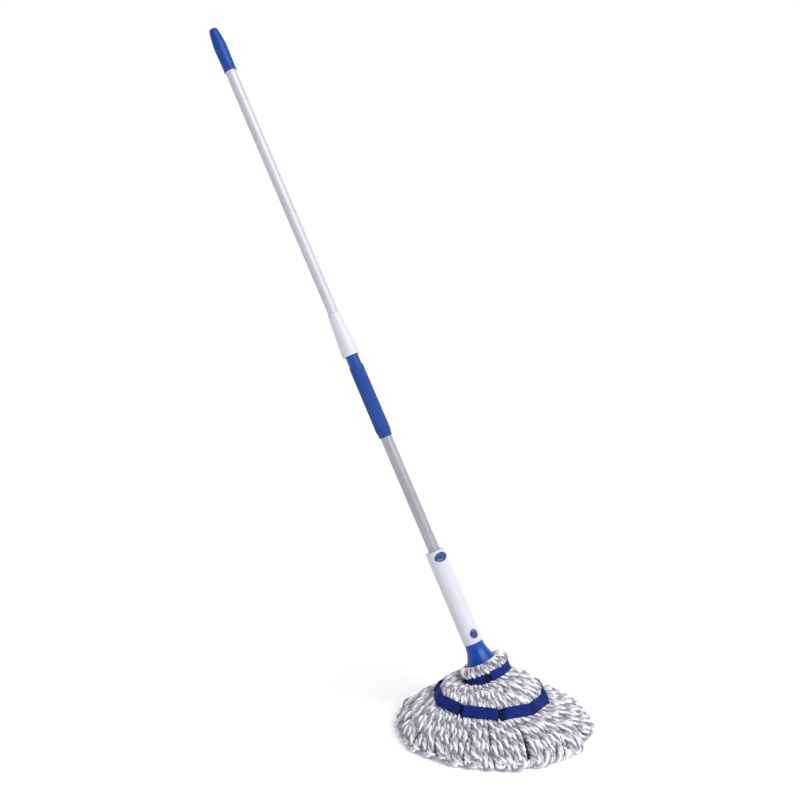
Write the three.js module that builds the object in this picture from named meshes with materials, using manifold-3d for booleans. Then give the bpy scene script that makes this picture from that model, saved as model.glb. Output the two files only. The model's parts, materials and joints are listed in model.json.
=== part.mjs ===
// Twist mop: telescopic pole, wringer sleeve and a head of looped strands.
// Millimetres, +Z up. The origin is the middle of the head's footprint on the floor.
// The pole leans towards -X. Its parts are drawn upright, with Z counted along the
// pole from the point where its axis meets the floor, and one group leans them all.

import * as THREE from "three";
import { mergeVertices } from "three/addons/utils/BufferGeometryUtils.js";
import Module from "manifold-3d";

const wasm = await Module();
wasm.setup();

// ---- driving dimensions -------------------------------------------------

const POLE_LEAN_DEG = 25;
const POLE_FOOT_X = 34;

const ROUND = 48; // facets around the pole's parts
const HEAD_ROUND = 64; // facets around the head
const BUTTON_ROUND = 96; // facets around the whole circle that a button's face is part of
const OVAL_SIDES = 40; // of a button's outline
const GAP = 0.3; // between pieces that touch

// Tubes: the upper one slides inside the lower one.
const LOWER_TUBE = { outer: 11.15, inner: 10.8, bottom: 40, top: 757 };
const UPPER_TUBE = { outer: 10.6, inner: 10.1, bottom: 655, top: 1399.5 };

// The swell lists radii with their heights above the cap's bottom.
const CAP = { bottom: 1356, top: 1445, rim: 12.35, rimTop: 1359, socket: 10.85 };
const CAP_SWELL = [
  [12, 5],
  [12.2, 15],
  [12.65, 35],
  [12.95, 48],
  [12.6, 56],
  [11.5, 65],
  [9.4, 81],
  [8, 86],
  [5, 88.6],
];
const BUSH = { bottom: 640, top: 680, radius: 10.6, chamfer: 1 };

// Twist lock: collar over a split collet on a threaded body.
// The taper lists radii with their heights above the collar's bottom.
const COLLAR = { bottom: 766, top: 853, bottomRadius: 17.4, topRadius: 12.1, bore: 14, mouth: 11 };
const COLLAR_TAPER = [[17, 12], [14.6, 48], [12.75, 74]];
const NECK = { bottom: 745.3, top: 766.5, radius: 12.5 };
const THREAD = { top: 803, radius: 13.6 };
const COLLET = { bottom: 803.4, top: 840, inner: 10.85, outer: 13.3, tip: 11.6 };
const SLIT = { wide: 1.4, bottom: 813.4 };

const GRIP = { bottom: 599, shoulder: 611, top: 745, foot: 12.1, wide: 13.75, narrow: 13.35 };
const GRIP_BORE = 11.4;
const RIBS = 24;
const RIB_DEPTH = 0.018; // of the grip's radius

// Wringer sleeve and what it carries.
const SLEEVE = { bottom: 179.3, top: 366, outer: 18.7, inner: 16.7, bore: 11.65, lid: 3.5, edge: 2.5 };
const LINER = { bottom: 183, top: 361.5, outer: 12.7, inner: 11.65 };
const BUTTON_TURN_DEG = -41; // both buttons sit at this angle round the pole
const RELEASE = { height: 352, across: 12.5, along: 8.5 };
const HEAD_RELEASE = { height: 196.6, across: 7.4, along: 8.7, egg: 0.14 };
const BUTTON = { face: 19.5, back: 16.4 };
const BUTTON_CUT = { from: 5, to: 24, reach: 20 }; // of the shapes that cut a button and its hole
const SPRING = { coil: 2.8, wire: 0.3, from: 13.1, to: 15.7, turns: 2.5, steps: 40 };

const CONE = { bottom: 142, top: 179, mouth: 28.4, neck: 17.6, spigotTop: 186.5, spigot: 16.4, wall: 2 };
const FLARE = { levels: 8, power: 1.9 };
const YARN_RING = { bottom: 112, top: 141, shoulder: 145, neckTop: 158, outer: 23.5, inner: 13, neck: 16.6 };

// Head: bands and strands.
const SMALL_BAND = { bottom: 109, top: 126, outer: 47, inner: 45.6 };
const STRAND_COLLAR = { bottom: 109.3, waist: 45.2, bore: 24, boreTop: 130 };
const ROLL = { middle: 36.5, height: 131, radius: 12, fromDeg: -18, toDeg: 150, steps: 9 };
const BIG_BAND = { x: -6, bottom: 62.3, top: 80, bottomRadius: 110, topRadius: 99.5, thick: 1.6 };
const DOME = { bottom: 62, bottomRadius: 107, shoulder: 79.5, radius: 97.3, topRadius: 44, top: 108.4 };
const DOME_CURVE = { rise: 9, levels: 7 };
const DOME_ROOM = { pole: 0.6, band: 0.5, reach: 250 }; // left free round the pole and the small band
const FRINGE = { radius: 186, topRadius: 108, top: 61.3 };
// The skirt's rounded rim: how far inside the full radius, and the height.
const FRINGE_RIM = [[14, 0], [4, 4], [0, 12], [3, 22], [13, 31]];

// Hub at the pole's bottom end.
const HUB = { bottom: 28, edgeTop: 34, flangeTop: 39.7, flange: 30, bevel: 3, plug: 10.5, plugTop: 78 };
const CLAMP = { bottom: 24.2, top: 27.7, radius: 28 };
const SCREW = { headBottom: 21, headTop: 23.9, head: 5.5, shank: 2.3, top: 62, bevel: 1.4, room: 0.3 };
const SCREW_ROUND = 24; // facets
const HUB_ROOM = { bottom: 19.5, radius: 31.5, top: 150 };

// ---- joining and cutting ------------------------------------------------

// A closed geometry as a solid that can be joined or cut.
function solidOf(geometry) {
  const bare = geometry.clone();
  bare.deleteAttribute("normal");
  bare.deleteAttribute("uv");
  const merged = mergeVertices(bare);
  const corners = merged.index.array;
  const triangles = [];
  for (let i = 0; i < corners.length; i += 3) {
    const [a, b, c] = corners.slice(i, i + 3);
    if (a !== b && b !== c && c !== a) {
      triangles.push(a, b, c);
    }
  }
  return new wasm.Manifold(
    new wasm.Mesh({
      numProp: 3,
      vertProperties: new Float32Array(merged.getAttribute("position").array),
      triVerts: new Uint32Array(triangles),
    }),
  );
}

function geometryOf(solid) {
  const mesh = solid.getMesh();
  const geometry = new THREE.BufferGeometry();
  geometry.setAttribute("position", new THREE.BufferAttribute(new Float32Array(mesh.vertProperties), 3));
  geometry.setIndex(new THREE.BufferAttribute(new Uint32Array(mesh.triVerts), 1));
  geometry.computeVertexNormals();
  return geometry;
}

// The first geometry with all the others taken out of it.
function cut(geometry, ...tools) {
  return geometryOf(tools.reduce((solid, tool) => solid.subtract(solidOf(tool)), solidOf(geometry)));
}

// What two geometries have in common.
function shared(one, other) {
  return geometryOf(solidOf(one).intersect(solidOf(other)));
}

// ---- shape helpers ------------------------------------------------------

// Turns an outline of [radius, height] points about the Z axis. The outline runs
// anticlockwise, and either starts and ends on the axis or is closed here.
function turned(outline, facets = ROUND) {
  const points = outline.map(([radius, height]) => new THREE.Vector2(radius, height));
  const onAxis = points[0].x === 0 && points.at(-1).x === 0;
  if (!onAxis) {
    points.push(points[0].clone());
  }
  return new THREE.LatheGeometry(points, facets).rotateX(Math.PI / 2);
}

// A straight ring or, with no inner radius, a straight disc.
function ring(outer, inner, bottom, top, facets = ROUND) {
  return turned([[inner, bottom], [outer, bottom], [outer, top], [inner, top]], facets);
}

// Puts a shape drawn upright on the leaning pole's axis.
function leaned(geometry) {
  return geometry.rotateY(THREE.MathUtils.degToRad(-POLE_LEAN_DEG)).translate(POLE_FOOT_X, 0, 0);
}

// An oval bar along +X at a height, for a button or its hole. egg above 0 widens the bottom.
function ovalBar({ height, across, along, egg = 0 }, grow) {
  const { from, to } = BUTTON_CUT;
  const outline = [];
  for (let i = 0; i < OVAL_SIDES; i++) {
    const angle = (i / OVAL_SIDES) * 2 * Math.PI;
    const width = 1 + egg * Math.cos(angle);
    const x = (along + grow) * Math.cos(angle);
    const y = (across + grow) * width * Math.sin(angle);
    outline.push(new THREE.Vector2(x, y));
  }
  const bar = new THREE.ExtrudeGeometry(new THREE.Shape(outline), { depth: to - from, bevelEnabled: false });
  return bar.rotateY(Math.PI / 2).translate(from, 0, height);
}

// A closed geometry through rings of points, listed from the bottom ring to the top one.
function lofted(rings) {
  const count = rings[0].length;
  const triangles = [];
  for (let level = 0; level + 1 < rings.length; level++) {
    for (let i = 0; i < count; i++) {
      const a = level * count + i;
      const b = level * count + ((i + 1) % count);
      triangles.push(a, b, b + count, a, b + count, a + count);
    }
  }
  const last = (rings.length - 1) * count;
  for (let i = 1; i + 1 < count; i++) {
    triangles.push(0, i + 1, i);
    triangles.push(last, last + i, last + i + 1);
  }
  const geometry = new THREE.BufferGeometry().setFromPoints(rings.flat());
  geometry.setIndex(triangles);
  geometry.computeVertexNormals();
  return geometry;
}

// ---- materials ----------------------------------------------------------

const BLUE_PLASTIC = { color: 0x1f4ba8, roughness: 0.3, metalness: 0 };
const WHITE_PLASTIC = { color: 0xe6e6ee, roughness: 0.35, metalness: 0 };
const GREY_PLASTIC = { color: 0x9a9aa2, roughness: 0.5, metalness: 0 };
const TUBE_METAL = { color: 0xc4c3cc, roughness: 0.35, metalness: 0.9 };
const STEEL = { color: 0xa8aab0, roughness: 0.3, metalness: 1 };
const STRAND_COTTON = { color: 0xe4e2ea, roughness: 0.95, metalness: 0 };
const BAND_CLOTH = { color: 0x263fa0, roughness: 0.85, metalness: 0 };

const object = new THREE.Group();
const pole = new THREE.Group();
pole.position.set(POLE_FOOT_X, 0, 0);
pole.rotation.y = THREE.MathUtils.degToRad(-POLE_LEAN_DEG);
object.add(pole);

function add(group, name, geometry, look) {
  const mesh = new THREE.Mesh(geometry, new THREE.MeshStandardMaterial(look));
  mesh.name = name;
  group.add(mesh);
  return mesh;
}

// ---- upper pole ---------------------------------------------------------

function endCap() {
  const socketTop = UPPER_TUBE.top + GAP;
  return turned([
    [0, socketTop],
    [CAP.socket, socketTop],
    [CAP.socket, CAP.bottom],
    [CAP.rim, CAP.bottom],
    [CAP.rim, CAP.rimTop],
    ...CAP_SWELL.map(([radius, height]) => [radius, CAP.bottom + height]),
    [0, CAP.top],
  ]);
}

// The plug in the upper tube's lower end, which slides in the lower tube.
function guideBush() {
  const stem = UPPER_TUBE.inner - GAP;
  const flangeTop = UPPER_TUBE.bottom - GAP;
  return turned([
    [0, BUSH.bottom],
    [BUSH.radius - BUSH.chamfer, BUSH.bottom],
    [BUSH.radius, BUSH.bottom + 2 * BUSH.chamfer],
    [BUSH.radius, flangeTop],
    [stem, flangeTop],
    [stem, BUSH.top],
    [0, BUSH.top],
  ]);
}

add(pole, "end_cap", endCap(), BLUE_PLASTIC);
add(pole, "upper_tube", ring(UPPER_TUBE.outer, UPPER_TUBE.inner, UPPER_TUBE.bottom, UPPER_TUBE.top), TUBE_METAL);
add(pole, "guide_bush", guideBush(), GREY_PLASTIC);

// ---- twist lock ---------------------------------------------------------

function lockCollar() {
  const { bottom, top, bottomRadius, topRadius, bore, mouth } = COLLAR;
  return turned([
    [bore, bottom],
    [bottomRadius - 0.8, bottom],
    [bottomRadius, bottom + 1.5],
    ...COLLAR_TAPER.map(([radius, height]) => [radius, bottom + height]),
    [topRadius, top - 1.5],
    [topRadius - 0.6, top],
    [mouth, top],
    [bore, THREAD.top + 3],
  ]);
}

function colletBody() {
  return turned([
    [GRIP_BORE, NECK.bottom],
    [NECK.radius, NECK.bottom],
    [NECK.radius, NECK.top],
    [THREAD.radius, NECK.top + 1],
    [THREAD.radius, THREAD.top],
    [COLLET.inner, THREAD.top],
    [COLLET.inner, LOWER_TUBE.top + GAP],
    [GRIP_BORE, LOWER_TUBE.top + GAP],
  ]);
}

// Slit in four from its top, so that the collar can squeeze it.
function collet() {
  const body = turned([
    [COLLET.inner, COLLET.bottom],
    [COLLET.outer, COLLET.bottom],
    [COLLET.tip, COLLET.top],
    [COLLET.inner, COLLET.top],
  ]);
  const reach = 4 * COLLET.outer;
  const slit = new THREE.BoxGeometry(reach, SLIT.wide, reach).translate(0, 0, SLIT.bottom + reach / 2);
  return cut(body, slit, slit.clone().rotateZ(Math.PI / 2));
}

add(pole, "lock_collar", lockCollar(), WHITE_PLASTIC);
add(pole, "collet_body", colletBody(), BLUE_PLASTIC);
add(pole, "collet", collet(), GREY_PLASTIC);

// ---- lower pole ---------------------------------------------------------

// Ribbed lengthwise, with a chamfered foot.
function handGrip() {
  const levels = [
    [GRIP.foot, GRIP.bottom],
    [GRIP.wide, GRIP.shoulder],
    [GRIP.narrow, GRIP.top],
  ];
  const rings = levels.map(([radius, height]) => ribbedRing(radius, height));
  return cut(lofted(rings), ring(GRIP_BORE, 0, GRIP.bottom - 1, GRIP.top + 1));
}

function ribbedRing(radius, height) {
  const points = [];
  const count = RIBS * 4;
  for (let i = 0; i < count; i++) {
    const angle = (i / count) * 2 * Math.PI;
    const reach = radius * (1 + RIB_DEPTH * Math.cos(RIBS * angle));
    points.push(new THREE.Vector3(reach * Math.cos(angle), reach * Math.sin(angle), height));
  }
  return points;
}

function hub() {
  return turned([
    [0, SCREW.top + GAP],
    [SCREW.shank + SCREW.room, SCREW.top + GAP],
    [SCREW.shank + SCREW.room, HUB.bottom],
    [HUB.flange, HUB.bottom],
    [HUB.flange, HUB.edgeTop],
    [HUB.flange - HUB.bevel, HUB.flangeTop],
    [HUB.plug, HUB.flangeTop],
    [HUB.plug, HUB.plugTop],
    [0, HUB.plugTop],
  ]);
}

function clampPlate() {
  return ring(CLAMP.radius, SCREW.shank + SCREW.room, CLAMP.bottom, CLAMP.top);
}

function hubScrew() {
  return turned(
    [
      [0, SCREW.headBottom],
      [SCREW.head - SCREW.bevel, SCREW.headBottom],
      [SCREW.head, SCREW.headBottom + SCREW.bevel],
      [SCREW.head, SCREW.headTop],
      [SCREW.shank, SCREW.headTop],
      [SCREW.shank, SCREW.top],
      [0, SCREW.top],
    ],
    SCREW_ROUND,
  );
}

add(pole, "hand_grip", handGrip(), BLUE_PLASTIC);
add(pole, "lower_tube", ring(LOWER_TUBE.outer, LOWER_TUBE.inner, LOWER_TUBE.bottom, LOWER_TUBE.top), TUBE_METAL);
add(pole, "hub", hub(), GREY_PLASTIC);
add(pole, "clamp_plate", clampPlate(), GREY_PLASTIC);
add(pole, "hub_screw", hubScrew(), STEEL);

// ---- wringer sleeve -----------------------------------------------------

const turnedToButtons = (geometry) => geometry.rotateZ(THREE.MathUtils.degToRad(BUTTON_TURN_DEG));

// A tube closed at the top by a lid that fits the pole, with a hole for each button.
function wringerSleeve() {
  const { bottom, top, outer, inner, bore, lid, edge } = SLEEVE;
  const shell = turned([
    [inner, bottom],
    [outer, bottom],
    [outer, top - edge],
    [outer - 0.3 * edge, top - 0.3 * edge],
    [outer - edge, top],
    [bore, top],
    [bore, top - lid],
    [inner, top - lid],
  ]);
  return cut(shell, turnedToButtons(ovalBar(RELEASE, GAP)), turnedToButtons(ovalBar(HEAD_RELEASE, GAP)));
}

// A curved plate that follows the sleeve's outside.
function button(place) {
  const { reach } = BUTTON_CUT;
  const curved = ring(BUTTON.face, BUTTON.back, place.height - reach, place.height + reach, BUTTON_ROUND);
  return turnedToButtons(shared(curved, ovalBar(place, 0)));
}

// A coil on +X between the liner and a button's back.
function coil(height) {
  const points = [];
  for (let i = 0; i <= SPRING.steps; i++) {
    const share = i / SPRING.steps;
    const angle = share * SPRING.turns * 2 * Math.PI;
    points.push(
      new THREE.Vector3(
        SPRING.from + (SPRING.to - SPRING.from) * share,
        SPRING.coil * Math.cos(angle),
        height + SPRING.coil * Math.sin(angle),
      ),
    );
  }
  const wire = new THREE.Shape().absarc(0, 0, SPRING.wire, 0, 2 * Math.PI);
  return new THREE.ExtrudeGeometry(wire, {
    steps: SPRING.steps,
    curveSegments: 3,
    extrudePath: new THREE.CatmullRomCurve3(points),
  });
}

function addSpring(name, height) {
  const spring = add(pole, name, coil(height), STEEL);
  spring.rotation.z = THREE.MathUtils.degToRad(BUTTON_TURN_DEG);
}

// Concave flare with a spigot that plugs into the sleeve.
function wringCone() {
  const outside = [];
  for (let i = 0; i < FLARE.levels; i++) {
    const share = i / (FLARE.levels - 1);
    const radius = CONE.neck + (CONE.mouth - CONE.neck) * (1 - share) ** FLARE.power;
    outside.push([radius, CONE.bottom + (CONE.top - CONE.bottom) * share]);
  }
  const inside = outside.map(([radius, height]) => [radius - CONE.wall, height]).reverse();
  return turned([
    ...outside,
    [CONE.spigot, CONE.top],
    [CONE.spigot, CONE.spigotTop],
    [CONE.spigot - CONE.wall, CONE.spigotTop],
    ...inside,
  ]);
}

// Sits in the cone's mouth and grips the strands' upper ends.
function yarnRing() {
  return turned([
    [YARN_RING.inner, YARN_RING.bottom],
    [YARN_RING.outer, YARN_RING.bottom],
    [YARN_RING.outer, YARN_RING.top],
    [YARN_RING.neck, YARN_RING.shoulder],
    [YARN_RING.neck, YARN_RING.neckTop],
    [YARN_RING.inner, YARN_RING.neckTop],
  ]);
}

add(pole, "wringer_sleeve", wringerSleeve(), WHITE_PLASTIC);
add(pole, "sleeve_liner", ring(LINER.outer, LINER.inner, LINER.bottom, LINER.top), GREY_PLASTIC);
add(pole, "release_button", button(RELEASE), BLUE_PLASTIC);
add(pole, "head_button", button(HEAD_RELEASE), BLUE_PLASTIC);
addSpring("release_spring", RELEASE.height);
addSpring("head_spring", HEAD_RELEASE.height);
add(pole, "wring_cone", wringCone(), BLUE_PLASTIC);
add(pole, "yarn_ring", yarnRing(), GREY_PLASTIC);

// ---- strands and bands --------------------------------------------------

// The roll of strands over the cone's rim, running down inside the small band.
function strandCollar() {
  const { bottom, waist, bore, boreTop } = STRAND_COLLAR;
  const roll = [];
  for (let i = 0; i <= ROLL.steps; i++) {
    const turn = ROLL.fromDeg + ((ROLL.toDeg - ROLL.fromDeg) * i) / ROLL.steps;
    const angle = THREE.MathUtils.degToRad(turn);
    roll.push([ROLL.middle + ROLL.radius * Math.cos(angle), ROLL.height + ROLL.radius * Math.sin(angle)]);
  }
  return turned([
    [bore, bottom],
    [waist, bottom],
    [waist, SMALL_BAND.top + GAP],
    ...roll,
    [bore, boreTop],
  ]);
}

// Strands that spread from under the small band to inside the big band, round the pole.
function strandDome() {
  const rings = [];
  const onBandRing = (radius, angle, height) =>
    new THREE.Vector3(BIG_BAND.x + radius * Math.cos(angle), radius * Math.sin(angle), height);
  rings.push(ringPoints((angle) => onBandRing(DOME.bottomRadius, angle, DOME.bottom)));
  for (let level = 0; level <= DOME_CURVE.levels; level++) {
    const share = level / DOME_CURVE.levels;
    rings.push(
      ringPoints((angle) => {
        const low = onBandRing(DOME.radius, angle, DOME.shoulder);
        const high = onPole(DOME.topRadius, angle, DOME.top);
        const point = low.lerp(high, share);
        point.z += DOME_CURVE.rise * Math.sin(Math.PI * share);
        return point;
      }),
    );
  }
  const poleRoom = ring(LOWER_TUBE.outer + DOME_ROOM.pole, 0, 0, DOME_ROOM.reach);
  const { outer, bottom } = SMALL_BAND;
  const bandRoom = ring(outer + DOME_ROOM.band, 0, bottom - DOME_ROOM.band, DOME_ROOM.reach);
  return cut(lofted(rings), leaned(poleRoom), leaned(bandRoom));
}

function ringPoints(pointAt) {
  const points = [];
  for (let i = 0; i < HEAD_ROUND; i++) {
    points.push(pointAt((i / HEAD_ROUND) * 2 * Math.PI));
  }
  return points;
}

// A point in the object's frame, at a radius, angle and height on the leaning pole.
function onPole(radius, angle, height) {
  const point = new THREE.Vector3(radius * Math.cos(angle), radius * Math.sin(angle), height);
  pole.updateMatrix();
  return point.applyMatrix4(pole.matrix);
}

// The skirt of strands on the floor, hollow in the middle for the hub.
function fringe() {
  const skirt = turned(
    [
      [0, 0],
      ...FRINGE_RIM.map(([inset, height]) => [FRINGE.radius - inset, height]),
      [FRINGE.topRadius, FRINGE.top],
      [0, FRINGE.top],
    ],
    HEAD_ROUND,
  );
  return cut(skirt, leaned(ring(HUB_ROOM.radius, 0, HUB_ROOM.bottom, HUB_ROOM.top)));
}

// Tape that lies on the spread strands, so it is wider at the bottom.
function bigBand() {
  const { bottom, top, bottomRadius, topRadius, thick } = BIG_BAND;
  return turned(
    [
      [bottomRadius - thick, bottom],
      [bottomRadius, bottom],
      [topRadius, top],
      [topRadius - thick, top],
    ],
    HEAD_ROUND,
  );
}

add(pole, "strand_collar", strandCollar(), STRAND_COTTON);
add(pole, "small_band", ring(SMALL_BAND.outer, SMALL_BAND.inner, SMALL_BAND.bottom, SMALL_BAND.top), BAND_CLOTH);
add(object, "strand_dome", strandDome(), STRAND_COTTON);
add(object, "big_band", bigBand(), BAND_CLOTH).position.x = BIG_BAND.x;
add(object, "fringe", fringe(), STRAND_COTTON);

export default object;
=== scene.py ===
"""Looks for the twist mop: ropes of strands, webbing bands, plastics and metal.

Metres, +Z up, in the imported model's own frame. Places on the pole are given as a
radius, an angle round the pole and a height along it from where its axis meets
the floor.
"""

import json
import math

import bpy
import numpy as np
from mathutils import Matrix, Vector


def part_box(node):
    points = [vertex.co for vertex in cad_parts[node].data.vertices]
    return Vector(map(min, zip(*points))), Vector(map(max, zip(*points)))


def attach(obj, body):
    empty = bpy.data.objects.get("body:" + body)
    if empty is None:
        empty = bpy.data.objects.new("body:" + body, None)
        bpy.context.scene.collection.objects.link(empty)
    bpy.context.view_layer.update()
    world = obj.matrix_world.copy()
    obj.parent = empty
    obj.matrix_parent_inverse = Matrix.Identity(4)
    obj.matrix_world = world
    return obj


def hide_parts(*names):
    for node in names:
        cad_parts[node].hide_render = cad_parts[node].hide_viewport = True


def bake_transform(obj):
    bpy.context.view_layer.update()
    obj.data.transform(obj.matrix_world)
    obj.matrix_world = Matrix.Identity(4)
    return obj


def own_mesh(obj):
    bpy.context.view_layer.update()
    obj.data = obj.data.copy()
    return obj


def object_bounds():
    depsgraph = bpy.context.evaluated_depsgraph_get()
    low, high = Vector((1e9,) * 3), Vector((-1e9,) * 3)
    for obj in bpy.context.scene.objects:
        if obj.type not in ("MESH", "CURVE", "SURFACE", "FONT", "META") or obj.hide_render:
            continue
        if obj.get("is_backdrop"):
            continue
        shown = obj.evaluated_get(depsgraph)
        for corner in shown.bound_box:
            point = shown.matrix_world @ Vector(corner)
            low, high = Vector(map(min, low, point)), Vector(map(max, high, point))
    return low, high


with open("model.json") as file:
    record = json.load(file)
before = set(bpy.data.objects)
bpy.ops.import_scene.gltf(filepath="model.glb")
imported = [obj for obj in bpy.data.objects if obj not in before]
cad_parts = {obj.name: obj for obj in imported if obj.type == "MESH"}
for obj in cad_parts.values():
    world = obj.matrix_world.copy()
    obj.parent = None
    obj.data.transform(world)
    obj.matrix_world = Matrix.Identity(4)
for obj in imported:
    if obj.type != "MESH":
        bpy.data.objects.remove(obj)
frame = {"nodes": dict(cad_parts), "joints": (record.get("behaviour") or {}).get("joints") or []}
cad_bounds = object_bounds()

MM = 0.001
RNG = np.random.default_rng(7)

# ---- the pole's axis, from the frame --------------------------------------

joints = {j["name"]: j for j in frame["joints"]}
AXIS = Vector(joints["sleeve_slide"]["axis"]).normalized()
collar_at = Vector(joints["collar_twist"]["pos_m"])
FOOT = collar_at - AXIS * (collar_at.z / AXIS.z)  # where the axis meets the floor
SIDE = Vector((AXIS.z, 0, -AXIS.x))
ACROSS = Vector((0, 1, 0))
POLE = np.array([SIDE, ACROSS, AXIS])  # rows: the pole's own x, y and z


def on_pole(radius, angle, height):
    """Points on the pole's own round frame, from arrays or numbers, in metres."""
    radius, angle, height = np.broadcast_arrays(radius, angle, height)
    local = np.stack([radius * np.cos(angle), radius * np.sin(angle), height], -1)
    return local @ POLE + np.array(FOOT)


def node_points(node):
    """A CAD node's corners at rest."""
    return np.array([v.co for v in frame["nodes"][node].data.vertices])


def pole_points(node):
    """A CAD node's corners in the pole's own frame: its z is the height along the pole."""
    return (node_points(node) - np.array(FOOT)) @ POLE.T


def pole_reach(node):
    """A CAD node's lowest and highest height along the pole and its largest radius."""
    local = pole_points(node)
    return local[:, 2].min(), local[:, 2].max(), np.hypot(local[:, 0], local[:, 1]).max()


# ---- camera, light and floor ----------------------------------------------

CAMERA_AT = (0.620, -1.996, 0.932)
CAMERA_HEADING = math.radians(22.1)
CAMERA_DIP = math.radians(8.38)
LENS_MM = 52.35

STUDIO_COLOR = (0.99, 0.99, 1.0, 1)
WALL_LIGHT = 1.03  # the studio's brightness up to the first of the heights below
CEILING_LIGHT = 0.3  # and from the second on
WALL_TO_CEILING = (0.3, 0.9)  # heights, each as the z of a direction
DIM_SIDE = (-0.6, -0.8, 0)  # the studio is dimmer this way
DIM_SIDE_LIGHT = 0.4
DIM_SIDE_REACH = (0.05, 0.9)  # how closely a direction agrees with it, at full and at dim light
SUN_POWER = 2.1
SUN_SPREAD = math.radians(35)
SUN_FROM = (1.2, -0.75, 1.5)

FLOOR_SIZE = 30
FLOOR_BELOW = 0.5 * MM  # how far the floor is under the lowest strands
FLOOR_COLOR = (0.93, 0.93, 0.94, 1)
FLOOR_GLOW = 0.16


def add_camera():
    data = bpy.data.cameras.new("camera")
    data.lens = LENS_MM
    data.sensor_width = 36
    camera = bpy.data.objects.new("camera", data)
    bpy.context.collection.objects.link(camera)
    camera.location = CAMERA_AT
    camera.rotation_euler = (math.pi / 2 - CAMERA_DIP, 0, CAMERA_HEADING)
    bpy.context.scene.camera = camera


def add_studio():
    """White walls, dimmer overhead and to the left front."""
    world = bpy.data.worlds.new("studio")
    world.use_nodes = True
    tree = world.node_tree
    nodes, links = tree.nodes, tree.links
    background = nodes["Background"]
    background.inputs["Color"].default_value = STUDIO_COLOR
    direction = nodes.new("ShaderNodeTexCoord").outputs["Generated"]
    split = nodes.new("ShaderNodeSeparateXYZ")
    links.new(direction, split.inputs[0])
    overhead = ramp_node(tree, split.outputs["Z"], WALL_TO_CEILING, (WALL_LIGHT, CEILING_LIGHT))
    toward = nodes.new("ShaderNodeVectorMath")
    toward.operation = "DOT_PRODUCT"
    toward.inputs[1].default_value = DIM_SIDE
    links.new(direction, toward.inputs[0])
    side = ramp_node(tree, toward.outputs["Value"], DIM_SIDE_REACH, (1.0, DIM_SIDE_LIGHT))
    strength = nodes.new("ShaderNodeMath")
    strength.operation = "MULTIPLY"
    links.new(overhead, strength.inputs[0])
    links.new(side, strength.inputs[1])
    links.new(strength.outputs[0], background.inputs["Strength"])
    bpy.context.scene.world = world
    bpy.context.scene.view_settings.view_transform = "Standard"


def add_sun():
    """A soft sun from the right."""
    sun = bpy.data.lights.new("sun", "SUN")
    sun.energy = SUN_POWER
    sun.angle = SUN_SPREAD
    lamp = bpy.data.objects.new("sun", sun)
    bpy.context.collection.objects.link(lamp)
    lamp.rotation_euler = (-Vector(SUN_FROM)).to_track_quat("-Z", "Y").to_euler()


def ramp_node(tree, value, source, target):
    """Maps a value from one range to another."""
    node = tree.nodes.new("ShaderNodeMapRange")
    for key, number in zip(("From Min", "From Max", "To Min", "To Max"), (*source, *target)):
        node.inputs[key].default_value = number
    tree.links.new(value, node.inputs["Value"])
    return node.outputs[0]


def add_floor():
    bpy.ops.mesh.primitive_plane_add(size=FLOOR_SIZE, location=(0, 0, -FLOOR_BELOW))
    floor = bpy.context.object
    floor.name = "floor"
    material = bpy.data.materials.new("floor")
    material.use_nodes = True
    shader = material.node_tree.nodes["Principled BSDF"]
    shader.inputs["Base Color"].default_value = FLOOR_COLOR
    shader.inputs["Roughness"].default_value = 0.7
    shader.inputs["Emission Color"].default_value = (1, 1, 1, 1)
    shader.inputs["Emission Strength"].default_value = FLOOR_GLOW
    floor.data.materials.append(material)
    floor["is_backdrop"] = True


# ---- materials --------------------------------------------------------------

NOISE_RANGE = (0.3, 0.7)  # the part of a noise's values that a blend runs over


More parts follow.
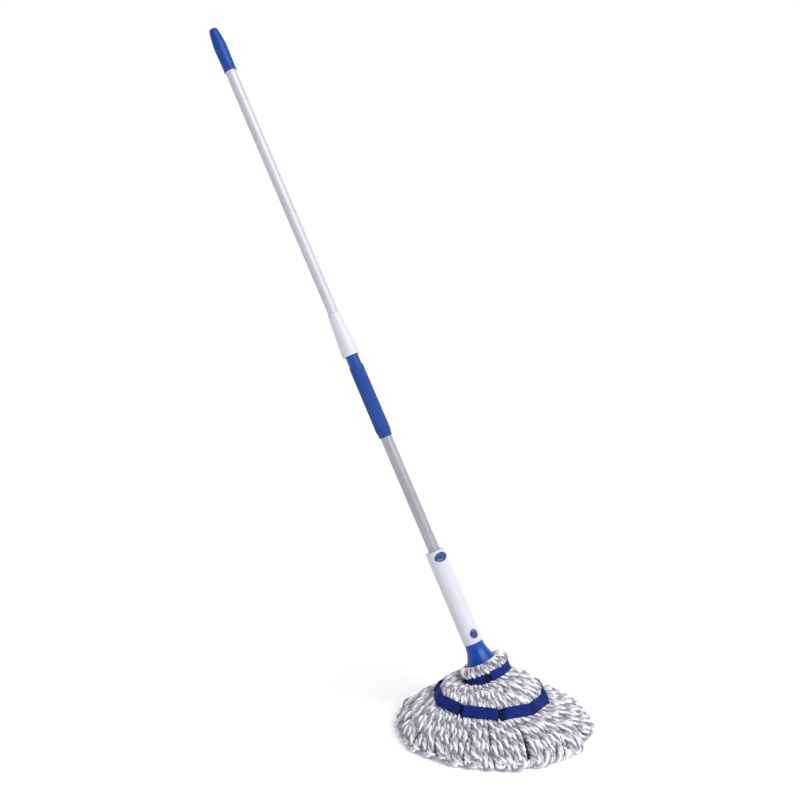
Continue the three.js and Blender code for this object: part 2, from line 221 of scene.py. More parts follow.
class Material:
    """A Principled material with short names for adding nodes."""

    def __init__(self, name, color, roughness, metallic=0.0):
        self.data = bpy.data.materials.new(name)
        self.data.use_nodes = True
        self.nodes = self.data.node_tree.nodes
        self.links = self.data.node_tree.links
        self.shader = self.nodes["Principled BSDF"]
        self.shader.inputs["Base Color"].default_value = (*color, 1)
        self.shader.inputs["Roughness"].default_value = roughness
        self.shader.inputs["Metallic"].default_value = metallic

    def set(self, **values):
        for name, value in values.items():
            self.shader.inputs[name.replace("_", " ")].default_value = value

    def node(self, kind, inputs=None, **settings):
        """Adds a node, with a value or another node's output for each named input."""
        node = self.nodes.new(kind)
        for key, value in settings.items():
            setattr(node, key, value)
        for key, value in (inputs or {}).items():
            if hasattr(value, "is_output"):
                self.links.new(value, node.inputs[key])
            else:
                node.inputs[key].default_value = value
        return node

    def place(self):
        """Object coordinates."""
        return self.node("ShaderNodeTexCoord").outputs["Object"]

    def along_pole(self, stretch):
        """Object coordinates with Z along the pole, and longer that way."""
        lean = (0, math.atan2(AXIS.x, AXIS.z), 0)
        inputs = {"Vector": self.place(), "Rotation": lean, "Scale": (1, 1, stretch)}
        return self.node("ShaderNodeMapping", inputs, vector_type="TEXTURE").outputs[0]

    def noise(self, vector, scale, detail=3.0, rough=0.5):
        inputs = {"Vector": vector, "Scale": scale, "Detail": detail, "Roughness": rough}
        return self.node("ShaderNodeTexNoise", inputs).outputs["Fac"]

    def vary_color(self, fac, low, high):
        """Blends between two colours, and gives the blend back."""
        ramp = self.node("ShaderNodeValToRGB", {"Fac": fac})
        for element, color, position in zip(ramp.color_ramp.elements, (low, high), NOISE_RANGE):
            element.color = (*color, 1)
            element.position = position
        self.links.new(ramp.outputs[0], self.shader.inputs["Base Color"])
        return ramp.outputs[0]

    def vary_roughness(self, fac, low, high):
        start, end = NOISE_RANGE
        inputs = {"Value": fac, "From Min": start, "From Max": end, "To Min": low, "To Max": high}
        rough = self.node("ShaderNodeMapRange", inputs).outputs[0]
        self.links.new(rough, self.shader.inputs["Roughness"])

    def bump(self, height, strength, distance):
        inputs = {"Height": height, "Strength": strength, "Distance": distance}
        bump = self.node("ShaderNodeBump", inputs)
        self.links.new(bump.outputs[0], self.shader.inputs["Normal"])


def plastic(name, dark, light, roughness, grain=900.0, depth=0.000012, coat=0.0, specular=0.5):
    """Moulded plastic: faint colour drift, fine moulded grain, slightly uneven gloss."""
    mat = Material(name, light, roughness)
    spot = mat.place()
    mat.vary_color(mat.noise(spot, 30.0), dark, light)
    mat.vary_roughness(mat.noise(spot, 220.0), roughness * 0.8, roughness * 1.25)
    mat.bump(mat.noise(spot, grain, 2.0), 0.25, depth)
    mat.set(Coat_Weight=coat, Coat_Roughness=0.12, Specular_IOR_Level=specular)
    return mat.data


def satin_metal(name, dark, light, roughness, metallic=0.45):
    """Satin tube finish with faint drawing lines along the pole."""
    mat = Material(name, light, roughness, metallic)
    along = mat.along_pole(40)
    spot = mat.place()
    mat.vary_color(mat.noise(spot, 14.0), dark, light)
    mat.vary_roughness(mat.noise(along, 350.0), roughness * 0.9, roughness * 1.1)
    mat.bump(mat.noise(along, 900.0, 2.0), 0.08, 0.00001)
    mat.set(Specular_IOR_Level=0.3)
    return mat.data


def yarn(name, dark, light):
    """Spun cotton ply: short fibres, uneven shade."""
    mat = Material(name, light, 0.95)
    spot = mat.place()
    mat.vary_color(mat.noise(spot, 260.0, 4.0, 0.65), dark, light)
    mat.bump(mat.noise(spot, 1500.0, 4.0, 0.7), 0.6, 0.0004)
    mat.set(Sheen_Weight=0.25, Sheen_Roughness=0.5)
    return mat.data


def webbing(name, dark, light, crease_shade):
    """Woven tape: ribs along and across, from the piece's UV in metres, with painted shade in its creases.
    """
    mat = Material(name, light, 0.85)
    uv = mat.node("ShaderNodeUVMap", uv_map="tape").outputs[0]
    wave = {"Vector": uv, "Scale": 420.0}
    warp = mat.node("ShaderNodeTexWave", wave, bands_direction="X").outputs["Fac"]
    weft = mat.node("ShaderNodeTexWave", {**wave, "Scale": 300.0}, bands_direction="Y").outputs["Fac"]
    weave = mat.node("ShaderNodeMath", {0: warp, 1: weft}, operation="MULTIPLY").outputs[0]
    cloth = mat.vary_color(mat.noise(mat.place(), 90.0, 4.0), dark, light)
    # Painted shade: the cloth is blended towards a near-black colour where the band folds in, by how deep
    # it folds.
    depth = mat.node("ShaderNodeAttribute", attribute_name="crease_shade").outputs["Fac"]
    shaded_cloth = mat.node("ShaderNodeMix", {0: depth, 6: cloth, 7: (*crease_shade, 1)}, data_type="RGBA").outputs[2]
    mat.links.new(shaded_cloth, mat.shader.inputs["Base Color"])
    mat.bump(weave, 0.5, 0.0003)
    mat.set(Sheen_Weight=0.02, Sheen_Roughness=0.4, Specular_IOR_Level=0.25)
    return mat.data


# Each material's darker and lighter shade, then its roughness.
BLUE = plastic("blue_plastic", (0.001, 0.05, 0.28), (0.003, 0.062, 0.34), 0.24, coat=0.12, specular=0.35)
CAP_BLUE = plastic("cap_blue", (0.001, 0.046, 0.27), (0.002, 0.058, 0.33), 0.42, specular=0.28)
CONE_BLUE = plastic("cone_blue", (0.0005, 0.05, 0.32), (0.001, 0.06, 0.38), 0.2, coat=0.12, specular=0.25)
BUTTON_BLUE = plastic("button_blue", (0.001, 0.03, 0.18), (0.002, 0.042, 0.24), 0.2, coat=0.4)
GRIP_BLUE = plastic("grip_blue", (0.0005, 0.044, 0.25), (0.001, 0.056, 0.31), 0.5, 1400.0, specular=0.4)
WHITE = plastic("white_plastic", (0.58, 0.59, 0.66), (0.64, 0.64, 0.72), 0.36, coat=0.12)
GREY = plastic("grey_plastic", (0.33, 0.33, 0.36), (0.42, 0.42, 0.45), 0.5)
TUBE = satin_metal("tube_metal", (0.52, 0.515, 0.575), (0.58, 0.575, 0.64), 0.5, metallic=0.3)
LOWER_TUBE = satin_metal("lower_tube_metal", (0.35, 0.345, 0.385), (0.42, 0.415, 0.46), 0.34, metallic=0.5)
STEEL = satin_metal("steel", (0.5, 0.5, 0.52), (0.6, 0.6, 0.62), 0.25)
PLY_WHITE = yarn("ply_white", (0.84, 0.83, 0.89), (0.97, 0.96, 1.0))
PLY_PALE = yarn("ply_pale", (0.47, 0.46, 0.53), (0.63, 0.62, 0.69))
PLY_GREY = yarn("ply_grey", (0.21, 0.205, 0.27), (0.35, 0.34, 0.41))
# The band's last colour is the painted shade that darkens its creases.
BAND = webbing("band_cloth", (0.002, 0.012, 0.13), (0.004, 0.021, 0.21), (0.001, 0.002, 0.02))

CAD_MATERIALS = {
    "end_cap": CAP_BLUE,
    "collet_body": BLUE,
    "wring_cone": CONE_BLUE,
    "release_button": BUTTON_BLUE,
    "head_button": BUTTON_BLUE,
    "hand_grip": GRIP_BLUE,
    "lock_collar": WHITE,
    "wringer_sleeve": WHITE,
    "upper_tube": TUBE,
    "lower_tube": LOWER_TUBE,
    "hub_screw": STEEL,
    "release_spring": STEEL,
    "head_spring": STEEL,
    "guide_bush": GREY,
    "collet": GREY,
    "hub": GREY,
    "clamp_plate": GREY,
    "sleeve_liner": GREY,
    "yarn_ring": GREY,
}


def finish_cad_nodes():
    for name, material in CAD_MATERIALS.items():
        for slot in frame["nodes"][name].material_slots:
            slot.material = material


# ---- mesh helpers -----------------------------------------------------------


def new_piece(name, points, faces, materials, face_materials=None, uvs=None):
    """A smooth mesh from points and faces, with a material for each face if there are several."""
    mesh = bpy.data.meshes.new(name)
    mesh.from_pydata([tuple(p) for p in points], [], faces)
    for material in materials:
        mesh.materials.append(material)
    if face_materials is not None:
        mesh.polygons.foreach_set("material_index", np.asarray(face_materials, np.int32))
    if uvs is not None:
        layer = mesh.uv_layers.new(name="tape")
        corner = np.empty(len(mesh.loops), np.int32)
        mesh.loops.foreach_get("vertex_index", corner)
        layer.data.foreach_set("uv", np.asarray(uvs, np.float32)[corner].ravel())
    mesh.polygons.foreach_set("use_smooth", np.ones(len(mesh.polygons), bool))
    mesh.update()
    piece = bpy.data.objects.new(name, mesh)
    bpy.context.collection.objects.link(piece)
    return piece


def quads_between(low, high, around):
    """Faces between two rings of points, from the number of each ring's first point."""
    k = np.arange(around)
    after = (k + 1) % around
    return np.stack([low + k, low + after, high + after, high + k], -1).tolist()


# ---- strands ----------------------------------------------------------------

STRAND = 5.0 * MM  # a strand's radius
THICKNESS = (0.93, 1.06)  # the thinnest and thickest strand, as shares of that
PLIES = 3
PLY_PITCH = 30 * MM  # length of one full turn of the plies
PLY_PROFILE = np.array([0.45, 0.86, 1.0, 1.0, 0.86])  # reach across one ply, from its groove
RING = PLIES * len(PLY_PROFILE)  # points round a strand
STEP = 2.4 * MM  # length of one step along a strand
PITCH_DRIFT = 0.5  # how far the plies run ahead or behind, in radians
DRIFT_LENGTH = 14 * MM
END_TAPER = 0.55  # a strand's end, as a share of its thickness
CLEAR = STRAND * THICKNESS[1]  # height of a strand that lies on the floor
WAVES = (3.0, 7.0)  # half waves of the bends in a strand
WAVE_WAY = (1, 1, 0.3)  # they go sideways more than up and down


def evenly(path, step):
    """The same path with points a step apart, rounded to end on its last point."""
    lengths = np.linalg.norm(np.diff(path, axis=0), axis=1)
    along = np.concatenate([[0], np.cumsum(lengths)])
    count = max(3, int(round(along[-1] / step)) + 1)
    marks = np.linspace(0, along[-1], count)
    return np.stack([np.interp(marks, along, path[:, k]) for k in range(3)], -1), marks


def smoothed(path, rounds=2):
    """The same path with its corners rounded and its ends held."""
    path = path.copy()
    for _ in range(rounds):
        path[1:-1] = 0.25 * path[:-2] + 0.5 * path[1:-1] + 0.25 * path[2:]
    return path


def carried_frames(path):
    """A side and an up direction for each point, carried along without twist."""
    ahead = np.gradient(path, axis=0)
    ahead /= np.linalg.norm(ahead, axis=1)[:, None]
    start = np.cross(ahead[0], (0, 0, 1.0))
    if np.linalg.norm(start) < 0.1:
        start = np.cross(ahead[0], (1.0, 0, 0))
    sides = [start / np.linalg.norm(start)]
    for direction in ahead[1:]:
        side = sides[-1] - direction * (sides[-1] @ direction)
        sides.append(side / np.linalg.norm(side))
    sides = np.array(sides)
    return sides, np.cross(ahead, sides)


class Rope:
    """Gathers twisted strands into one mesh."""

    def __init__(self):
        self.points, self.faces, self.slots = [], [], []
        self.count = 0

    def add(self, path):
        """Sweeps the plied section along a path, with its own phase, pitch and thickness."""
        path, along = evenly(path, STEP)
        path = smoothed(path)
        side, up = carried_frames(path)
        drift = PITCH_DRIFT * np.sin(along / DRIFT_LENGTH + RNG.uniform(0, 2 * np.pi))
        turn = RNG.uniform(0, 2 * np.pi) - along / PLY_PITCH * 2 * np.pi + drift
        spoke = np.arange(RING)
        theta = (spoke / RING * 2 * np.pi + turn[:, None])[..., None]
        levels = len(path)
        taper = np.ones(levels)
        taper[[0, -1]] = END_TAPER
        thick = STRAND * RNG.uniform(*THICKNESS)
        reach = thick * taper[:, None] * PLY_PROFILE[spoke % len(PLY_PROFILE)]
        around = np.cos(theta) * side[:, None, :] + np.sin(theta) * up[:, None, :]
        rings = path[:, None, :] + reach[..., None] * around
        self.points.append(rings.reshape(-1, 3))
        level = self.count + np.arange(levels - 1)[:, None] * RING
        low_edge = np.stack([level + spoke, level + (spoke + 1) % RING], -1)
        quads = np.concatenate([low_edge, low_edge[..., ::-1] + RING], -1)
        self.faces += quads.reshape(-1, 4).tolist()
        self.slots += np.tile(spoke // len(PLY_PROFILE), levels - 1).tolist()
        last = self.count + (levels - 1) * RING
        self.faces += [list(self.count + spoke[::-1]), list(last + spoke)]
        self.slots += [0, 0]
        self.count += levels * RING

    def piece(self, name):
        points = np.concatenate(self.points)
        return new_piece(name, points, self.faces, [PLY_WHITE, PLY_GREY, PLY_PALE], self.slots)


def spline(knots, count=60):
    """A smooth path through a few knots (Catmull-Rom)."""
    knots = np.asarray(knots, float)
    padded = np.vstack([2 * knots[0] - knots[1], knots, 2 * knots[-1] - knots[-2]])
    marks = np.linspace(0, len(knots) - 1, count)
    low = np.minimum(marks.astype(int), len(knots) - 2)
    t = (marks - low)[:, None]
    a, b, c, d = (padded[low + k] for k in range(4))
    square = (2 * a - 5 * b + 4 * c - d) * t**2
    cube = (3 * b - a - 3 * c + d) * t**3
    return 0.5 * (2 * b + (c - a) * t + square + cube)


def polar(center, angle, radius, height):
    """A point round an upright axis."""
    return (center[0] + radius * math.cos(angle), center[1] + radius * math.sin(angle), height)


# ---- head -------------------------------------------------------------------

low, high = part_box("big_band")
BAND_CENTER = ((low[0] + high[0]) / 2, (low[1] + high[1]) / 2)
BAND_LOW, BAND_HIGH = low[2], high[2]
BAND_FOOT = (high[0] - low[0]) / 2  # radius of the big band's lower edge
band_points = node_points("big_band")
BAND_CROWN = band_points[band_points[:, 2] > BAND_HIGH - MM][:, 1].max()  # and of its upper edge
SKIRT_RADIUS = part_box("fringe")[1][0]
SMALL_LOW, SMALL_HIGH, SMALL_RADIUS = pole_reach("small_band")
COLLAR_TOP, ROLL_RADIUS = pole_reach("strand_collar")[1:]

# Creases between a band's flat sections. Each tuck is how strongly the tape folds in beside
# the crease: above 0 just after it, going anticlockwise from above, below 0 just before it.
BIG_BAND_CREASE = math.radians(-65)
BIG_BAND_TUCKS = (1.0, 0.45, 0.8, -0.6, 0.7, 0.5, -0.7, 0.6, -0.45, -1.0)
SMALL_BAND_CREASE = math.radians(-58)
SMALL_BAND_TUCKS = (-1.0, 0.7, -0.6, 0.8, 0.6)
TUCK_STEP = 2 * MM
TUCK_LENGTH = 21 * MM
TUCK_ROOM = 6.5 * MM  # how far the strands draw in behind the deepest tuck


def crease_at(angle, first, tucks, radius):
    """How far a band folds in at an angle, 0 to 1, and its angle from its section's middle."""
    span = 2 * math.pi / len(tucks)
    along = (angle - first) / span
    off = (along % 1.0 - 0.5) * span
    fold = 0.0
    for index in (math.floor(along), math.floor(along) + 1):
        tuck = tucks[index % len(tucks)]
        past = (along - index) * span * radius * math.copysign(1, tuck)
        near = smooth_step(past / TUCK_STEP + 0.5) * (1 - smooth_step(past / TUCK_LENGTH))
        fold = max(fold, abs(tuck) * near)
    return fold, off


def smooth_step(value):
    """Eases from 0 to 1."""
    value = min(1.0, max(0.0, value))
    return value * value * (3 - 2 * value)


def tuck_under(angle):
    """How far the big band folds in over a strand's width, which the strands make room for."""
    reach = STRAND / BAND_FOOT
    spots = (angle - reach, angle, angle + reach)
    return max(crease_at(spot, BIG_BAND_CREASE, BIG_BAND_TUCKS, BAND_FOOT)[0] for spot in spots)


FRINGE_PIECES = 4
LOOPS = 44  # on top of the skirt
LEGS = 84  # under them, which run back to the hub
LAYER = 8 * MM  # from one layer of strands to the next
MIDDLE = (0, 0)  # of the skirt
HUB_HEIGHT = 20 * MM  # where the legs end, along the pole
LEG_REACH = (-7, 0)  # how far past the rim a leg may go, in mm
LOOP_REACH = (-6, 1)
DOWN_INSET = (0, 4)  # how far inside its reach a loop's first side comes down, in mm
UP_INSET = (2, 9)  # and its second side goes back up
UP_SWIRL = (0.6, 1.1)  # the second side's swirl, as a share of the first's
UP_LAYER = 0.25
LEG_WOBBLE = 2.4 * MM  # how far a strand bends from side to side
LOOP_WOBBLE = 2.6 * MM
DOME_WOBBLE = 2.0 * MM
COLLAR_WOBBLE = 1.2 * MM


def descent(angle, layer, swirl, edge):
    """Knots out from under the big band and down the skirt to just above its rim."""
    drop = LAYER * layer
    tuck = TUCK_ROOM * tuck_under(angle)
    return [
        polar(BAND_CENTER, angle, BAND_FOOT - 23 * MM - tuck, BAND_LOW + 10 * MM - drop),
        polar(BAND_CENTER, angle, BAND_FOOT - 9 * MM - tuck, BAND_LOW - 3 * MM - drop),
        polar((-0.002, 0), angle + 0.02 * swirl, 124 * MM, 51 * MM - drop),
        polar(MIDDLE, angle + 0.04 * swirl, 141 * MM, 43.5 * MM - 0.95 * drop),
        polar(MIDDLE, angle + 0.06 * swirl, 157 * MM, 35.5 * MM - 0.9 * drop),
        polar(MIDDLE, angle + 0.09 * swirl, edge - 11 * MM, 26 * MM - 0.7 * drop),
        polar(MIDDLE, angle + 0.14 * swirl, edge - 2 * MM, 15.5 * MM - 0.3 * drop),
    ]


def leg_path(angle, swirl, reach):
    """Down the skirt, sideways along the rim and back to the hub."""
    edge = SKIRT_RADIUS - STRAND + reach
    hub = (FOOT.x + AXIS.x * HUB_HEIGHT, FOOT.y)
    knots = descent(angle, 1, swirl, edge) + [
        polar(MIDDLE, angle + 0.21 * swirl, edge, 7 * MM),
        polar(MIDDLE, angle + 0.28 * swirl, edge - 7 * MM, CLEAR),
        polar(MIDDLE, angle + 0.32 * swirl, 165 * MM, CLEAR),
        polar(MIDDLE, angle + 0.34 * swirl, 140 * MM, CLEAR),
        polar(MIDDLE, angle + 0.34 * swirl, 95 * MM, CLEAR),
        polar(hub, angle + 0.34 * swirl, 34 * MM, CLEAR),
    ]
    return spline(knots, count=110)


def loop_path(angle, swirl, reach):
    """Down the skirt, round a loop that lies sideways on the rim, and back up beside itself."""
    edge = SKIRT_RADIUS - STRAND + reach
    width = math.pi / LOOPS
    down = descent(angle, 0, swirl, edge - RNG.uniform(*DOWN_INSET) * MM)
    up_swirl = swirl * RNG.uniform(*UP_SWIRL)
    up = descent(angle + width, UP_LAYER, up_swirl, edge - RNG.uniform(*UP_INSET) * MM)
    end = angle + width / 2 + 0.2 * swirl
    side = -1 if swirl < 0 else 1
    near = polar(MIDDLE, end - 0.035 * side, edge + 1 * MM, STRAND + 3 * MM)
    far = polar(MIDDLE, end + 0.045 * side, edge, STRAND + 2 * MM)
    return spline(down + [near, far][::side] + up[::-1], count=150)


def wobble(path, amount):
    """Bends a path in two slow waves, with its ends held and nothing under the floor."""
    share = np.linspace(0, 1, len(path))[:, None]
    hold = np.sin(np.pi * np.clip(share * 1.15, 0, 1))
    shift = np.zeros_like(path)
    for waves in WAVES:
        phase = RNG.uniform(0, 2 * np.pi)
        way = RNG.normal(size=3) * WAVE_WAY
        shift += np.sin(share * waves * np.pi + phase) * way / math.sqrt(waves)
    moved = path + amount * hold * shift
    moved[:, 2] = np.maximum(moved[:, 2], CLEAR)
    return moved


def scattered(k, count, scatter=0.01):
    """The angle of one of several strands spread evenly round the head, give or take a little."""
    return k / count * 2 * math.pi + RNG.normal(0, scatter)


def disorder(angle):
    """How loosely the strands lie: most towards -X."""
    return 1 + 0.7 * max(0.0, -math.cos(angle))


def swirl_at(angle):
    """Which way the strands lie round the rim: the same way in patches, with some disorder."""
    lay = math.sin(3 * angle + 0.6) + 0.4 * math.sin(5 * angle)
    return 0.75 * lay + RNG.normal(0, 0.3)


def add_fringe():
    for part in range(FRINGE_PIECES):
        rope = Rope()
        for k in range(part, LEGS, FRINGE_PIECES):
            angle = scattered(k, LEGS)
            path = leg_path(angle, swirl_at(angle), RNG.uniform(*LEG_REACH) * MM)
            rope.add(wobble(path, LEG_WOBBLE * disorder(angle)))
        for k in range(part, LOOPS, FRINGE_PIECES):
            angle = scattered(k, LOOPS, 0.012)
            path = loop_path(angle, swirl_at(angle), RNG.uniform(*LOOP_REACH) * MM)
            rope.add(wobble(path, LOOP_WOBBLE * disorder(angle)))
        piece = rope.piece(f"fringe_{part + 1}")
        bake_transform(piece)
        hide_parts("fringe")


DOME_STRANDS = 72
DOME_LAYERS = 3  # the strands lie at three depths in turn


def dome_path(angle, layer):
    """From inside the small band down and out to inside the big band."""
    tuck = TUCK_ROOM * tuck_under(angle)
    inner = SMALL_RADIUS - (8 + 6.5 * layer) * MM
    top = on_pole(inner, angle, SMALL_LOW + 10 * MM)
    neck = on_pole(inner + 1.5 * MM, angle, SMALL_LOW - 2 * MM)
    low = np.array(polar(BAND_CENTER, angle, BAND_CROWN - 8 * MM - tuck, BAND_HIGH - 1 * MM))
    end = np.array(polar(BAND_CENTER, angle, BAND_FOOT - 14 * MM - tuck, BAND_LOW + 4 * MM))
    rise = np.array([0, 0, 1.0])
    knots = [
        top,
        neck,
        neck + (low - neck) * 0.22 + rise * 3 * MM,
        neck + (low - neck) * 0.55 + rise * 7 * MM,
        neck + (low - neck) * 0.85 + rise * 5 * MM,
        low,
        end,
    ]
    return spline(knots, count=50)


def add_dome():
    rope = Rope()
    for k in range(DOME_STRANDS):
        rope.add(wobble(dome_path(scattered(k, DOME_STRANDS), k % DOME_LAYERS), DOME_WOBBLE))
    piece = rope.piece("dome_strands")
    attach(piece, "carrier")
    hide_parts("strand_dome")


COLLAR_STRANDS = 30
ROLL_SWELL = 3.5 * MM
ROLL_SWELL_AT = math.radians(30)  # the roll is fullest this way round the pole


def collar_path(angle):
    """Out of the cone's mouth, over its rim and down into the small band."""
    swell = ROLL_SWELL * max(0, math.cos(angle - ROLL_SWELL_AT))
    crest = COLLAR_TOP - STRAND + swell
    outer = ROLL_RADIUS - STRAND + 0.5 * swell
    knots = [
        on_pole(21 * MM, angle, crest - 10 * MM),
        on_pole(25 * MM, angle, crest - 4 * MM),
        on_pole(31.5 * MM, angle, crest),
        on_pole(outer - 4.5 * MM, angle, crest - 1.5 * MM),
        on_pole(outer, angle, crest - 7 * MM),
        on_pole(outer - 1.5 * MM, angle, SMALL_HIGH + 1 * MM),
        on_pole(SMALL_RADIUS - 9.5 * MM, angle, SMALL_HIGH - 6 * MM),
        on_pole(SMALL_RADIUS - 10 * MM, angle, SMALL_LOW + 1 * MM),
    ]
    return spline(knots, count=40)


def add_collar():
    rope = Rope()
    for k in range(COLLAR_STRANDS):
        rope.add(wobble(collar_path(scattered(k, COLLAR_STRANDS)), COLLAR_WOBBLE))
    piece = rope.piece("collar_strands")
    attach(piece, "sleeve")
    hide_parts("strand_collar")


# ---- bands ------------------------------------------------------------------

TAPE = 1.6 * MM  # thickness
TAPE_AROUND = 480  # points round a band
TAPE_ROWS = 7  # and from its lower edge to its upper one
WEAVE_RADIUS = 0.1  # sets the weave's scale round a band
CREASE_SHADE_FADE = 0.6  # how fast the painted shade in the creases fades beside them
BIG_FOLD = 7 * MM  # how deep the big band's deepest crease goes in, and its lower edge down
BIG_FOLD_TOP = 6 * MM  # and its upper edge down
SMALL_FOLD = 3.5 * MM
SMALL_FOLD_DROP = 3 * MM
SMALL_FLATNESS = 0.25  # the small band is rounder than its flat sections, 0 to 1


def band_piece(name, place, edges, fold, body, node):
    """A closed loop of tape. edges(angle) gives its lower and upper edge, place its points.

    fold(angle) says how deep the band folds in there, 0 to 1, which darkens the cloth's colour as painted
    shade.
    """
    shares = [row / (TAPE_ROWS - 1) for row in range(TAPE_ROWS)]
    rings = [(share, TAPE / 2) for share in shares] + [(share, -TAPE / 2) for share in shares[::-1]]
    angles = np.linspace(0, 2 * np.pi, TAPE_AROUND, endpoint=False)
    # Painted shade: how dark the cloth is at each point, from how deep the band folds in there.
    shade_depths = np.tile([fold(angle) ** CREASE_SHADE_FADE for angle in angles], len(rings))
    points, uvs, faces = [], [], []
    for share, offset in rings:
        for angle in angles:
            a, b = edges(angle)
            points.append(place(angle, a + (b - a) * share, offset, share))
            uvs.append((angle * WEAVE_RADIUS, share * (b - a)))
    for ring in range(len(rings)):
        after = (ring + 1) % len(rings)
        faces += quads_between(ring * TAPE_AROUND, after * TAPE_AROUND, TAPE_AROUND)
    piece = new_piece(name, points, faces, [BAND], uvs=uvs)
    piece.data.attributes.new("crease_shade", "FLOAT", "POINT").data.foreach_set("value", shade_depths)
    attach(piece, body)
    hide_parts(node)


def flat_section(radius, off, sections):
    """The radius of a many-sided ring at an angle off the middle of a side."""
    return radius * math.cos(math.pi / sections) / math.cos(off)


def add_big_band():
    proud = BAND_FOOT + 1.5 * MM
    lean = BAND_FOOT - BAND_CROWN

    def fold(angle):
        return crease_at(angle, BIG_BAND_CREASE, BIG_BAND_TUCKS, proud)[0]

    def edges(angle):
        return BAND_LOW - BIG_FOLD * fold(angle), BAND_HIGH - BIG_FOLD_TOP * fold(angle)

    def point(angle, height, offset, share):
        depth, off = crease_at(angle, BIG_BAND_CREASE, BIG_BAND_TUCKS, proud)
        radius = flat_section(proud, off, len(BIG_BAND_TUCKS)) - BIG_FOLD * depth
        return polar(BAND_CENTER, angle, radius - lean * share + offset, height)

    band_piece("big_band_tape", point, edges, fold, "carrier", "big_band")


def add_small_band():
    proud = SMALL_RADIUS + 0.5 * MM

    def fold(angle):
        return crease_at(angle, SMALL_BAND_CREASE, SMALL_BAND_TUCKS, proud)[0]

    def edges(angle):
        drop = SMALL_FOLD_DROP * fold(angle)
        return SMALL_LOW - drop, SMALL_HIGH - drop

    def point(angle, height, offset, share):
        depth, off = crease_at(angle, SMALL_BAND_CREASE, SMALL_BAND_TUCKS, proud)
        flat = flat_section(proud, off, len(SMALL_BAND_TUCKS))
        radius = (1 - SMALL_FLATNESS) * proud + SMALL_FLATNESS * flat - SMALL_FOLD * depth
        return on_pole(radius + offset, angle, height)

    band_piece("small_band_tape", point, edges, fold, "sleeve", "small_band")


# ---- moulded parts ----------------------------------------------------------

BURIED = 0.6 * MM  # a ring of corners this far inside its neighbours is not on the outside
SOFTEN = 1.2 * MM  # corners are rounded over this length
LEAST_BORE = 0.3 * MM  # a closed end keeps this radius

# The relief on each part: how many lines, how high they stand and how deep the grooves are.
CAP_RIDGE = 0.28 * MM
CAP_RIDGE_TURN = 1.4  # in radians round the pole
CAP_GROOVE = 0.3 * MM
COLLAR_FLATS = 10
COLLAR_FLAT = 0.35 * MM
GRIP_RIBS = 22
GRIP_RIB = 0.9 * MM
GRIP_SINK = 0.58 * MM  # the ribs' hollows are this far below the grip's plain ends
CONE_LINES = 24
CONE_LINE = 0.5 * MM


def outer_profile(node):
    """A turned CAD node's outside: heights along the pole and the radius at each."""
    local = pole_points(node)
    radii = np.hypot(local[:, 0], local[:, 1])
    heights = np.unique(np.round(local[:, 2], 6))
    outside = np.array([radii[np.abs(local[:, 2] - h) < 0.02 * MM].max() for h in heights])
    while True:
        rise, run = outside[2:] - outside[:-2], heights[2:] - heights[:-2]
        chord = outside[:-2] + rise * (heights[1:-1] - heights[:-2]) / run
        buried = np.flatnonzero(outside[1:-1] < chord - BURIED) + 1
        if len(buried) == 0:
            return heights, outside
        heights, outside = np.delete(heights, buried[0]), np.delete(outside, buried[0])


def moulded_piece(node, body, material, relief, wall, around=160, step=0.6 * MM):
    """A fine turned shell in place of a CAD node, its outside raised by relief(angle, share)."""
    heights, radii = outer_profile(node)
    levels = np.linspace(heights[0], heights[-1], int((heights[-1] - heights[0]) / step) + 1)
    profile = np.interp(levels, heights, radii)
    window = max(1, int(SOFTEN / step)) * 2 + 1
    padded = np.pad(profile, window // 2, mode="edge")
    rounded = np.convolve(padded, np.ones(window) / window, "valid")
    share = np.linspace(0, 1, len(levels))[:, None]
    angle = np.linspace(0, 2 * np.pi, around, endpoint=False)[None, :]
    outside = rounded[:, None] + relief(angle, share)
    inside = np.maximum(rounded[:, None] - wall, LEAST_BORE) + 0 * angle
    rings = np.concatenate([outside, inside[::-1]])
    ring_levels = np.concatenate([levels, levels[::-1]])[:, None]
    points = on_pole(rings, angle, ring_levels).reshape(-1, 3)
    faces = []
    for ring in range(len(rings)):
        faces += quads_between(ring * around, (ring + 1) % len(rings) * around, around)
    piece = new_piece(f"{node}_shell", points, faces, [material])
    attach(piece, body)
    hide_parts(node)


def cap_relief(angle, share):
    """Four soft lengthwise ridges and a groove above the rim."""
    ridge = CAP_RIDGE * np.exp(-((np.sin(2 * (angle + CAP_RIDGE_TURN)) / 0.2) ** 2))
    groove = CAP_GROOVE * np.exp(-(((share - 0.06) / 0.012) ** 2))
    return ridge * np.sin(np.pi * share) ** 0.5 - groove


def collar_relief(angle, share):
    """Ten shallow flats that fade towards the top."""
    flats = COLLAR_FLAT * np.abs(np.cos(COLLAR_FLATS / 2 * angle)) * np.clip(1.1 - share, 0, 1)
    return flats * np.clip(share / 0.1, 0, 1)


def grip_relief(angle, share):
    """Fine round ribs between plain ends."""
    ribs = GRIP_RIB * np.abs(np.sin(GRIP_RIBS / 2 * angle)) - GRIP_SINK
    return ribs * np.clip((share - 0.07) / 0.02, 0, 1) * np.clip((0.985 - share) / 0.01, 0, 1)


def cone_relief(angle, share):
    """Raised lengthwise lines, strongest at the mouth."""
    lines = np.exp(-((np.sin(CONE_LINES / 2 * angle) / 0.22) ** 2))
    return CONE_LINE * lines * np.clip(0.95 - share, 0, 1)


def add_moulded_parts():
    moulded_piece("end_cap", "upper_pole", CAP_BLUE, cap_relief, 1.3 * MM)
    moulded_piece("lock_collar", "collar", WHITE, collar_relief, 1.2 * MM)
    moulded_piece(
        "hand_grip", "mop_base", GRIP_BLUE, grip_relief, 1.6 * MM, around=264, step=1.2 * MM
    )
    moulded_piece("wring_cone", "sleeve", CONE_BLUE, cone_relief, 1.6 * MM, around=288)


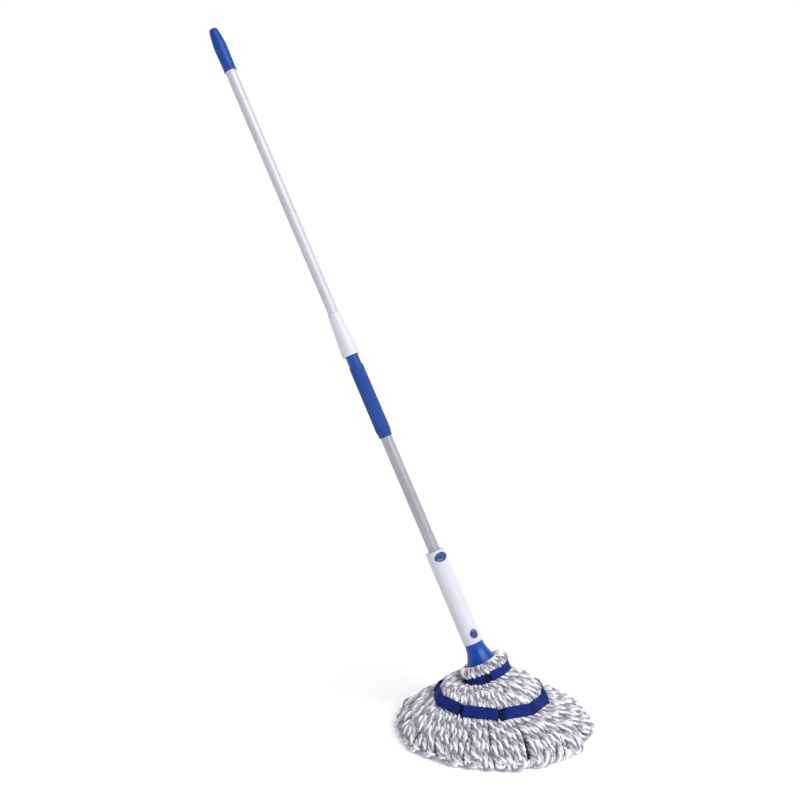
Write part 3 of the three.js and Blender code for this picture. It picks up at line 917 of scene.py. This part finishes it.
BUTTON_TURN = math.radians(-41)  # both buttons sit at this angle round the pole
BUTTON_THICK = 2.4 * MM
BUTTON_INSET = 0.4 * MM  # how far its edge is inside the CAD button's
BUTTON_AROUND = 72
BUTTON_FACE = np.concatenate([np.linspace(0.02, 0.9, 16), np.linspace(0.91, 1.0, 8)])
BUTTON_BACK = (1.0, 0.8, 0.6, 0.4, 0.2, 0.02)  # its rings, as shares of its half width
SPRING_TURNS = 2.5
SPRING_WIRE = 0.3 * MM
SPRING_POINTS = 100


def button_piece(node, body, section, egg):
    """An oval button: section(share) gives how far it stands out from its middle to its edge."""
    local = pole_points(node)
    turned = np.arctan2(local[:, 1], local[:, 0]) - BUTTON_TURN
    face = np.hypot(local[:, 0], local[:, 1]).max()
    across = (face * np.sin(turned)).max() - BUTTON_INSET
    along = (local[:, 2].max() - local[:, 2].min()) / 2 - BUTTON_INSET
    middle = (local[:, 2].max() + local[:, 2].min()) / 2
    around = BUTTON_AROUND
    way = np.linspace(0, 2 * np.pi, around, endpoint=False)[None, :]
    narrow = 1 - egg * np.cos(way)
    rows = [(share, face + section(share)) for share in BUTTON_FACE]
    rows += [(share, face - BUTTON_THICK) for share in BUTTON_BACK]
    points = []
    for share, radius in rows:
        sideways = across * share * narrow * np.sin(way) / (1 + egg)
        height = middle + along * share * np.cos(way)
        points.append(on_pole(radius, BUTTON_TURN + sideways / face, height).reshape(-1, 3))
    faces = []
    k = np.arange(around)
    after = (k + 1) % around
    for row in range(len(rows) - 1):
        low, high = row * around, (row + 1) * around
        faces += np.stack([low + k, high + k, high + after, low + after], -1).tolist()
    faces.append(k[::-1].tolist())
    faces.append((k + (len(rows) - 1) * around).tolist())
    piece = new_piece(f"{node}_face", np.concatenate(points), faces, [BUTTON_BLUE])
    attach(piece, body)
    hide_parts(node)


def dished(share):
    """A raised rim round a shallow dish."""
    rim = 0.9 * MM * math.exp(-(((share - 0.82) / 0.13) ** 2))
    return rim - 0.5 * MM * (1 - share**2) - 1.2 * MM * max(0, share - 0.94) / 0.06


def domed(share):
    """A low crown with a rolled edge."""
    return 1.2 * MM * (1 - share**2) - 1.0 * MM * max(0, share - 0.92) / 0.08


def round_wire(name, path, radius, material, sides=10):
    """A round wire along a path, closed at both ends."""
    side, up = carried_frames(path)
    theta = np.linspace(0, 2 * np.pi, sides, endpoint=False)[None, :, None]
    around = np.cos(theta) * side[:, None, :] + np.sin(theta) * up[:, None, :]
    rings = path[:, None, :] + radius * around
    k = np.arange(sides)
    last = (len(path) - 1) * sides
    faces = [k[::-1].tolist(), (last + k).tolist()]
    for low in range(0, last, sides):
        faces += quads_between(low, low + sides, sides)
    return new_piece(name, rings.reshape(-1, 3), faces, [material])


def spring_piece(node):
    """The coil behind a button, in the place of the CAD spring."""
    local = pole_points(node)
    outward = np.array([math.cos(BUTTON_TURN), math.sin(BUTTON_TURN), 0])
    sideways = np.array([-outward[1], outward[0], 0])
    inner, outer = (local @ outward).min() + SPRING_WIRE, (local @ outward).max() - SPRING_WIRE
    middle = (local[:, 2].max() + local[:, 2].min()) / 2
    coil = (local[:, 2].max() - local[:, 2].min()) / 2 - SPRING_WIRE
    share = np.linspace(0, 1, SPRING_POINTS)[:, None]
    turn = share * SPRING_TURNS * 2 * np.pi
    path = (inner + (outer - inner) * share) * outward + coil * np.sin(turn) * sideways
    path = path + (middle + coil * np.cos(turn)) * np.array([0, 0, 1])
    piece = round_wire(f"{node}_coil", path @ POLE + np.array(FOOT), SPRING_WIRE, STEEL)
    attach(piece, "sleeve")
    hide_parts(node)
    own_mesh(piece)


def add_buttons():
    button_piece("release_button", "release_button", dished, 0.0)
    button_piece("head_button", "head_button", domed, 0.14)
    spring_piece("release_spring")
    spring_piece("head_spring")


add_camera()
add_studio()
add_sun()
add_floor()
finish_cad_nodes()
add_fringe()
add_dome()
add_collar()
add_big_band()
add_small_band()
add_moulded_parts()
add_buttons()

sizes = {"cad": cad_bounds, "visual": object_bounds()}
{k: [list(v) for v in box] for k, box in sizes.items()}
